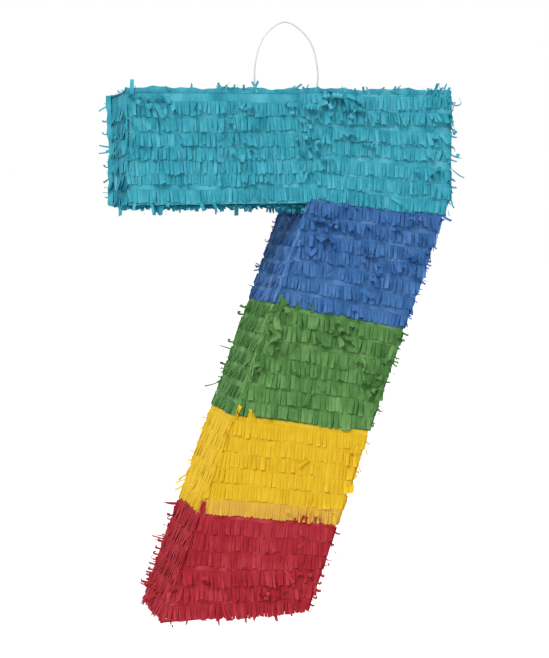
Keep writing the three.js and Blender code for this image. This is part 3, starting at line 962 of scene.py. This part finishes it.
# Loose cuts, by face: along, down, length, width, turn, lift, curl
STRAYS = {
    "teal_front_left": [
        (6, 5, 15, 4.5, 184, 12, 30), (12, 6, 14, 3, 60, 40, 330), (20, 7, 15, 4, 30, 35, 380),
        (30, 8, 14, 4, -20, 40, 400), (36, 9, 12, 4, 40, 50, 300), (97, 2, 15, 3, 138, 10, 20),
        (101, 2, 14, 2.6, 215, 12, 20), (132, 2, 13, 2.6, 165, 12, 20), (136, 2, 14, 2.6, 215, 10, 30),
        (172, 2, 14, 2.6, 125, 12, 30), (2, 5, 12, 4, 70, 40, 300), (11, 12, 14, 4, -30, 40, 260),
        (8, 111, 11, 3, -12, 30, -20), (24, 112, 13, 3, 8, 20, 20), (42, 112, 12, 3, -30, 30, 60),
        (74, 112, 11, 3.5, 5, 20, 40), (87, 110, 16, 4, 18, 15, -20), (121, 112, 9, 3, -20, 30, 90),
        (122, 18, 14, 5, 20, 40, 330), (118, 16, 13, 4, -35, 40, 300), (180, 30, 14, 4, -50, 50, 380),
        (176, 50, 13, 4, 40, 40, 350), (184, 66, 13, 4, -30, 40, 300), (170, 14, 14, 5, -80, 30, 260),
    ],
    "teal_front_right": [
        *bundle(0, 16, 5, 3.6, 19, -25, 45, 250), *bundle(24, 6, 6, 3.4, 16, 12, 60, 330),
        *bundle(56, 18, 3, 4.2, 15, -10, 40, 260), *bundle(16, 46, 3, 4, 13, 0, 12, 20),
        *bundle(34, 44, 4, 3.2, 13, 60, 30, 120), *bundle(60, 55, 3, 3.2, 12, -40, 40, 300),
        (30, 16, 18, 6, -60, 35, 430), (42, 20, 16, 5, 70, 35, 380), (50, 26, 16, 5, -30, 40, 340),
        (66, 28, 14, 4, 20, 35, 300), (76, 4, 12, 1.8, 215, 15, 90), (84, 4, 12, 1.8, 145, 15, 90),
        (136, 4, 11, 2.4, 150, 15, 60), (146, 5, 15, 3.4, 178, 12, 20), (150, 5, 13, 2.6, 160, 15, 60),
        (155, 5, 15, 3.2, 192, 12, 30), (158, 6, 14, 2.6, 165, 15, 70), (162, 7, 12, 3, 175, 20, 60),
        (152, 4, 12, 2, 215, 20, 90), (115, 4, 9, 2.4, 150, 20, 60), (60, 4, 9, 2.4, 200, 20, 60),
        (160, 20, 14, 4, 60, 50, 300), (163, 40, 14, 4, 40, 50, 330), (162, 62, 13, 4, 70, 50, 250),
        (4, 40, 14, 4, -70, 40, 380), (8, 56, 14, 5, 20, 40, 330), (10, 74, 13, 4, -50, 40, 300),
    ],
    "teal_left_end": [
        (3, 10, 15, 2.4, -50, 55, 0), (3, 26, 12, 2.4, -60, 60, 130), (3, 38, 11, 1.6, -10, 50, 160),
        (3, 54, 13, 2.2, -115, 60, 0), (3, 58, 14, 2.4, -60, 60, 20), (1, 84, 11, 2.4, -10, 40, 30),
        (4, 98, 11, 2.4, 0, 40, 60), (2, 104, 9, 2, -40, 40, 60),
    ],
    "teal_right_end": [
        (2, 12, 20, 2.2, -20, 55, 200), (1, 26, 13, 1.6, 0, 30, 10), (2, 46, 8, 2.2, -70, 40, 90),
        (1, 66, 13, 2.2, -50, 45, 40), (1, 80, 19, 1.4, 0, 34, 8), (2, 100, 8, 2.2, -60, 50, 90),
        (2, 116, 16, 3, -12, 24, 10), (1, 109, 15, 2.6, -20, 28, 20),
    ],
    "teal_underside": [
        *bundle(1, 84, 7, 3.4, 13, 0, 62, -20), *bundle(4, 66, 6, 3.4, 12, 10, 66, -20),
        *bundle(2, 44, 6, 3.4, 12, -10, 66, -20), *bundle(5, 20, 5, 3.4, 12, 10, 66, -20),
        (10, 90, 10, 2.4, 80, 40, 60), (28, 92, 9, 2.0, -70, 50, 90), (40, 88, 10, 2.4, 30, 75, -60),
        (62, 92, 9, 2, 80, 40, 120), (95, 86, 11, 2.6, 10, 85, 30), (112, 90, 9, 2, -80, 50, 60),
        (130, 90, 10, 2.4, 70, 50, 80), (152, 91, 12, 2.4, -75, 45, 60), (170, 93, 10, 2, 60, 60, 80),
    ],
    "blue_front": [
        (1, 12, 12, 2.4, -30, 30, 60), *bundle(8, 22, 4, 3.4, 13, 50, 30, 160),
        *bundle(30, 26, 3, 3.4, 13, -30, 35, 240),
        *bundle(112, 6, 5, 3.2, 13, 20, 35, 200), *bundle(96, 20, 3, 3.2, 12, 60, 25, 160),
        *bundle(78, 52, 4, 3.2, 12, 15, 35, 260), *bundle(120, 44, 4, 3.2, 12, 35, 30, 120),
    ],
    "green_front": [
        (6, 6, 16, 5, 168, 14, 20), (9, 8, 15, 6, 176, 18, 30), (12, 5, 12, 5, 195, 20, 50),
        (8, 14, 17, 8, 15, 20, 60), (6, 24, 15, 7, -10, 30, 120), (10, 34, 15, 7, 20, 25, 90),
        (27, 4, 9, 4, 178, 12, 20), (45, 4, 9, 4, 180, 12, 20), (12, 46, 14, 6, 35, 30, 120),
        *bundle(84, 20, 3, 4, 14, -20, 35, 240), *bundle(104, 40, 3, 4.5, 14, 30, 30, 120),
        *bundle(118, 62, 3, 4, 14, 20, 35, 100), *bundle(2, 62, 3, 4, 14, 20, 30, 120),
    ],
    "green_inner_side": [
        (1, 12, 14, 2.6, -70, 55, 300), (2, 20, 15, 2.6, -60, 50, 320), (1, 52, 13, 2.4, -60, 55, 280),
        (2, 60, 14, 1.6, -80, 50, 40), (1, 78, 14, 2.4, -70, 55, 320), (0, 98, 17, 2.2, -25, 45, 0),
    ],
    "green_outer_side": [
        (2, 6, 8, 2.4, -80, 40, 60), (2, 30, 10, 2.6, -10, 30, 20), (3, 37, 9, 2.4, -15, 35, 60),
        (2, 60, 8, 2.6, -60, 40, 240), (2, 68, 11, 2.4, -5, 30, 20), (1, 90, 8, 2.4, -15, 30, 20),
    ],
    "blue_outer_side": [
        (1, 1, 12, 2.8, -75, 40, 100), (2, 31, 8, 2.4, -15, 35, 20), (3, 50, 7, 2.4, -50, 30, 160),
        (2, 72, 8, 2.4, -30, 30, 60), (1, 102, 10, 2.4, -5, 20, 20), (5, 103, 9, 2.4, -25, 25, 20),
    ],
    "yellow_inner_side": [
        (1, 80, 12, 2.2, -30, 30, 20), (1, 86, 13, 1.8, -35, 35, 10), (2, 92, 12, 2, -30, 30, 30),
    ],
    "yellow_front": [
        (2, 4, 16, 5, 170, 8, 10), (5, 4, 13, 4, 182, 8, 10), (21, 5, 14, 5, 184, 8, 10),
        (25, 5, 10, 4, 190, 8, 10), (17, 5, 9, 3, 172, 8, 10),
    ],
    "yellow_outer_side": [
        (1, 12, 14, 1.6, 0, 18, 10), (1, 34, 12, 1.8, 0, 18, 20), (1, 54, 13, 1.6, -10, 20, 10),
        (1, 72, 12, 1.8, 0, 20, 20), (1, 96, 12, 2, 0, 24, 10),
    ],
    "red_inner_side": [
        (1, 8, 14, 3, -60, 50, 20), (1, 22, 13, 2, -70, 60, 250), (2, 26, 12, 2, -40, 60, 280),
        (1, 34, 9, 1.8, -50, 60, 160), (2, 46, 15, 1.6, -70, 60, -30), (2, 49, 15, 1.6, -85, 60, -10),
        (2, 52, 14, 1.6, -75, 62, 20), (1, 60, 12, 2.2, -60, 60, 200), (2, 66, 12, 2.2, -40, 60, 260),
        (0, 84, 13, 2.2, -60, 60, 250), (2, 90, 12, 2.2, -50, 55, 250), (8, 94, 12, 2.4, -60, 50, 260),
        (16, 96, 11, 2.2, -50, 50, 240), (26, 95, 12, 2.4, -70, 50, 280), (36, 97, 11, 2.2, -50, 50, 260),
        (48, 96, 12, 2.4, -60, 55, 240), (60, 97, 12, 2.4, -50, 50, 280), (74, 96, 12, 2.2, -60, 50, 260),
        (86, 97, 12, 2.4, -50, 55, 280), (2, 98, 15, 3, -60, 40, 160), (6, 99, 14, 3, -30, 40, 120),
        (12, 99, 13, 3, -50, 40, 200), (1, 78, 12, 2.4, -80, 50, 160),
    ],
    "red_front": [
        (2, 4, 17, 5, 172, 10, 10), (7, 5, 13, 4, 186, 10, 20), (104, 4, 9, 3, 180, 10, 20),
        (112, 4, 12, 3, 172, 10, 10), (119, 4, 11, 3, 190, 10, 10), (126, 4, 12, 2.6, 176, 12, 10),
        (132, 4, 9, 3, 184, 12, 20), *bundle(96, 80, 3, 3.4, 13, -10, 30, 200),
    ],
    "red_outer_side": [
        (2, 8, 10, 2.2, -60, 50, 160), (1, 20, 14, 1.4, 0, 34, 10), (2, 38, 9, 2.2, -70, 50, 160),
        (2, 44, 10, 2.2, -40, 50, 200), (2, 56, 10, 2.2, -70, 50, 220), (2, 64, 9, 2.2, -40, 50, 240),
        (2, 72, 10, 2.2, -60, 50, 200), (2, 80, 10, 2.2, -70, 50, 250), (2, 88, 10, 2.2, -50, 50, 250),
        (3, 95, 10, 2.2, -30, 50, 250),
    ],
    "red_foot": [
        (6, 92, 12, 2.6, 50, 60, 140), (18, 93, 14, 2.6, 45, 60, 120), (34, 92, 19, 3.8, 50, 60, 90),
        (58, 93, 15, 4.2, 40, 45, 120), (66, 94, 14, 2.6, 50, 40, 100), (84, 93, 11, 2.4, -50, 60, 60),
        (98, 93, 16, 2.4, 30, 70, 40), (112, 93, 10, 2.4, 50, 60, 120), (134, 93, 13, 2.6, -40, 60, 120),
        (148, 92, 14, 3, 40, 60, 120),
    ],
}

LOOKS = {
    "teal": tissue("tissue_teal", (20, 120, 142), (58, 158, 177), (88, 180, 197), (120, 181, 194)),
    "blue": tissue("tissue_blue", (30, 73, 130), (59, 106, 163), (84, 128, 182), (106, 128, 172)),
    "green": tissue("tissue_green", (48, 94, 41), (84, 132, 70), (114, 158, 94), (126, 160, 106)),
    "yellow": tissue("tissue_yellow", (205, 161, 22), (223, 186, 35), (231, 198, 56), (216, 171, 70), 0.38),
    "red": tissue("tissue_red", (133, 17, 31), (166, 37, 49), (185, 63, 75), (187, 78, 91)),
}


def restyle(name, **changes):
    """A style cut like another, without its spots and lying flatter, apart from what changes says."""
    like = STYLES[name]
    copied = replace(
        like, last_width=like.last_width or like.width, lift=5.0, spots=(), last_row_mess=0.0, shade=0.0,
        wave=Style.wave,
    )
    return replace(copied, **changes)


# How the left side's rows differ from the front's. The shade values are painted light and shade: the bar's
# left end and the green side are painted darker, and the yellow side lighter, for how the light falls on
# each side
SIDE_CHANGES = {
    "teal_left": {
        "first_cut": 15, "rows": 6, "overhang": 0, "mess": 0.12, "lift": 6.0, "width": (3.0, 7.0),
        "shade": -0.7, "contrast": 0.5, "gap": 0.6, "tab": 15.0,
    },
    "blue": {"shade": 0.0, "contrast": 0.6, "lift": 1.0, "mess": 0.12, "tab": 11.0},
    "green": {"shade": -0.25, "contrast": 0.45, "mess": 0.1, "lift": 1.5, "tab": 12.0},
    "yellow": {
        "shade": 0.5, "contrast": 0.1, "mess": 0.03, "width": (2.2, 4.8), "lift": 1.0, "gap": 0.0,
        "crumple": 0.15,
    },
    "red": {"contrast": 0.22, "mess": 0.1, "width": (2.2, 4.6), "lift": 1.5, "gap": 0.1, "crumple": 0.4},
}

# How far the right side's tabs stand off, in degrees
OUTER_LIFTS = {"blue": 6.0, "green": 3.0, "yellow": 2.0, "red": 1.0}

# The width of the finer tabs on the sides
FINE_WIDTH = (1.6, 3.4)


def side_style(name):
    """The left side's rows: longer and finer tabs than the front's, unless SIDE_CHANGES says otherwise."""
    settings = {"tab": STYLES[name].tab + 3, "width": FINE_WIDTH, "last_shade": 0.0}
    return restyle(name, **{**settings, **SIDE_CHANGES[name]})


# Short torn cuts along the outline's edges, by face: which kind and how many
FRAYS = {
    "teal_front_left": (top_fray, 14),
    "teal_front_right": (top_fray, 20),
    "teal_left_end": (side_fray, 8),
    "teal_right_end": (side_fray, 14),
    "blue_inner_side": (side_fray, 9),
    "blue_outer_side": (side_fray, 12),
    "green_inner_side": (side_fray, 8),
    "green_outer_side": (side_fray, 12),
    "yellow_inner_side": (side_fray, 5),
    "yellow_outer_side": (side_fray, 8),
    "red_inner_side": (side_fray, 8),
    "red_outer_side": (side_fray, 8),
}


def cover(seed, node, face, style, name=None, body="shell", finish=None, **options):
    """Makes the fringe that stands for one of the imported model's cover solids, which its colour names."""
    colour = node.split("_")[0]
    rng = np.random.default_rng(SEED * 1000 + seed)
    paper = Paper()
    lay_rows(rng, paper, face, style, **options)
    add_strays(rng, paper, face, STRAYS.get(node, ()))
    if finish:
        finish(rng, paper, face)
    if node in FRAYS:
        fray, count = FRAYS[node]
        add_strays(rng, paper, face, [fray(rng, face) for _ in range(count)])
    paper.piece((name or node) + "_fringe", LOOKS[colour], "tissue_" + colour, body, node)


def above_blue(points):
    return room_above_blue(points) > 0.5 * MM


def stop_at_blue(root):
    return max(float(room_above_blue(root)[0]) + 2 * MM, 4 * MM)


def cover_bar():
    left = front_face(left_line, seam_line_low, ["right"])
    right = front_face(seam_line, right_line, ["left", "bottom"])

    def top_ridge(rng, paper, left_x, right_x):
        ends = (left_x, front_y, top_z), (right_x, front_y, top_z)
        add_ridge(rng, paper, *ends, (0, 1, 0), (0, 0, 1))

    def finish_left(rng, paper, face):
        top_ridge(rng, paper, bar_left, seam_top[0])
        add_bottom_fold(rng, paper, face, keep_cells=above_blue)

    def finish_right(rng, paper, _):
        top_ridge(rng, paper, seam_top[0], bar_right)

    def finish_left_end(rng, paper, _):
        ends = (bar_left, back_y, top_z), (bar_left, back_y, low_z)
        add_ridge(rng, paper, *ends, (0, -1, 0), (-1, 0, 0))

    cover(
        1, "teal_front_left", left, STYLES["teal_left"], finish=finish_left,
        keep_cells=above_blue, tip_limit=stop_at_blue,
    )
    cover(2, "teal_front_right", right, STYLES["teal_right"], finish=finish_right)
    cover(3, "teal_left_end", left_side(left_line), side_style("teal_left"), finish=finish_left_end)
    right_style = restyle("teal_right", rows=10, tab=11.0, lift=3.0)
    cover(4, "teal_right_end", right_side(right_line, ["bottom"]), right_style)
    top = Face(
        Edge((bar_right, front_y, top_z), (bar_right, back_y, top_z)),
        Edge((bar_left, front_y, top_z), (bar_left, back_y, top_z)),
    )
    top_style = Style(6, 3, spots=LOOP_FLAT_SPOTS, mess=0.1, lift=6, overhang=-1)
    cover(5, "teal_top", top, top_style, keep=off_wire)
    underside = facing_down(bar_left, crotch_x, low_z, ["left"])
    cover(6, "teal_underside", underside, Style(6, 6, mess=0.3, lift=6, hold=0.12, overhang=-1))


def off_wire(root):
    """Whether a tab's root is clear of the hanging wire, both standing and folded forward."""
    low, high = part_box("hanging_loop")
    beside = min(abs(root[0] - low.x), abs(root[0] - high.x))
    return beside > WIRE_ROOM or not WIRE_FRONT < root[1] < WIRE_BACK


def fold_edge(first, last, strands):
    return lambda rng, paper, face: add_edge_fold(rng, paper, face, first, last, strands)


def cover_leg():
    def finish_red(rng, paper, face):
        add_bottom_fold(rng, paper, face, drop=4.0, inward=0.5, shade=-0.1)

    folds = {"blue": fold_edge(0.3, 1.0, 6), "green": fold_edge(0.02, 1.0, 22), "red": finish_red}
    for i, band in enumerate(BANDS):
        upper_left, upper_right, lower_right, lower_left = corners[band]
        left, right = [upper_left, lower_left], [upper_right, lower_right]
        flat = ["top"] if band == "red" else ["top", "bottom"]
        seed = 20 + i * 4
        front = front_face(left, right, flat)
        cover(seed, band + "_front", front, STYLES[band], finish=folds.get(band))
        if band == "blue":
            inner = left_side([(crotch_x, low_z), lower_left], ["bottom"], ["top"])
        else:
            inner = left_side(left, flat)
        side_finish = fold_edge(0.3, 0.95, 0) if band == "red" else None
        cover(seed + 1, band + "_inner_side", inner, side_style(band), finish=side_finish)
        rows = STYLES[band].rows + 3
        outer_style = restyle(band, rows=rows, tab=11.0, width=FINE_WIDTH, lift=OUTER_LIFTS[band], hold=0.1)
        cover(seed + 2, band + "_outer_side", right_side(right, flat), outer_style)
        cover(seed + 3, band + "_back", back_face(left, right, flat), restyle(band, mess=0.14))
    foot = facing_down(corners["red"][3][0], corners["red"][2][0], foot_z)
    cover(40, "red_foot", foot, Style(6, 6, tab=12, mess=0.25, lift=6, hold=0.12, overhang=-2))


class Opening:
    """The hole round the fill flap, which the back's rows stop short of."""

    def __init__(self, node, side, top):
        low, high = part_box(node)
        self.low = np.array([low.x - side, low.z - side])
        self.high = np.array([high.x + side, high.z + top])

    def is_off(self, points):
        flat = np.atleast_2d(points)[:, [0, 2]]
        return ~((flat > self.low) & (flat < self.high)).all(1)

    def push_out(self, points):
        """Moves points that are inside the opening to its nearest side."""
        moved = points.reshape(-1, 3).copy()
        for i in np.flatnonzero(~self.is_off(moved)):
            x, _, z = moved[i]
            gaps = [x - self.low[0], self.high[0] - x, z - self.low[1], self.high[1] - z]
            side = int(np.argmin(gaps))
            moved[i, 0 if side < 2 else 2] += -gaps[side] if side % 2 == 0 else gaps[side]
        return moved.reshape(points.shape)

    def room_below(self, root):
        """How long a tab can be before it reaches the opening from above."""
        beside = root[0] < self.low[0] or root[0] > self.high[0]
        return 1.0 if beside or root[2] < self.high[1] else root[2] - self.high[1]


def add_hinge_tissue(rng, paper, face):
    """Flat tissue pressed onto the card above the flap's first row, where the flap bends."""
    card_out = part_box("fill_flap")[1].y - back_y + 0.3 * MM
    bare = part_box("fill_flap")[1].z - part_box("teal_flap_cover")[1].z
    columns = 30
    rows = []
    for down, out in ((-bare, card_out), (-0.3 * bare, card_out), (0, BASE_OUT)):
        line = Line(face, down)
        s = np.linspace(0, line.length, columns)
        rows.append(line.start + line.across * s[:, None] + line.out * out)
    paper.add_grid(np.array(rows), np.full((len(rows), columns), 0.2))


def cover_back_and_flap():
    """The back of the bar, whose rows stop round the fill flap, and the flap's own rows."""
    left = back_face(left_line, seam_line_low, ["right"])
    style = restyle("teal_left", mess=0.2)
    cover(
        7, "teal_back", left, style, name="teal_back_left",
        keep_cells=above_blue, tip_limit=stop_at_blue,
    )
    right = back_face(seam_line, right_line, ["left", "bottom"])
    tissue_edge = Opening("fill_flap", 0.8 * MM, 2.4 * MM)
    tab_edge = Opening("fill_flap", 3.0 * MM, 2.8 * MM)
    cover(
        8, "teal_back", right, restyle("teal_right", mess=0.1, lift=4.0), name="teal_back_right",
        keep=lambda root: bool(tab_edge.is_off(root)[0]), keep_cells=tissue_edge.is_off,
        snap=tissue_edge.push_out, tip_limit=tab_edge.room_below,
    )
    low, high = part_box("teal_flap_cover")
    flap = Face(
        Edge((high.x, back_y, high.z), (high.x, back_y, low.z)),
        Edge((low.x, back_y, high.z), (low.x, back_y, low.z)),
        ["left", "right", "top", "bottom"],
    )
    flap_style = Style(5, 1.2, overhang=2, mess=0.12)
    cover(9, "teal_flap_cover", flap, flap_style, body="fill_flap", finish=add_hinge_tissue)


def paint_frame():
    """The CAD nodes that stay visible: card, tape and wire."""
    paints = {"card": card_material(), "tape": tape_material(), "wire": wire_material()}
    for part in frame["record"]["subparts"]:
        paint = paints.get(part["material_slot"])
        if paint:
            node = frame["nodes"][part["node"]]
            node.data.materials.clear()
            node.data.materials.append(paint)


def add_floor():
    """A plain floor, well below the hanging pinata."""
    z = CAD_LOW.z - FLOOR_DROP
    square = ((-1, -1), (1, -1), (1, 1), (-1, 1))
    mesh = bpy.data.meshes.new("floor")
    mesh.from_pydata([(x * FLOOR_REACH, y * FLOOR_REACH, z) for x, y in square], [], [(0, 1, 2, 3)])
    mesh.materials.append(floor_material())
    put("floor", mesh)


add_camera()
add_light()
paint_frame()
cover_bar()
cover_leg()
cover_back_and_flap()
add_floor()
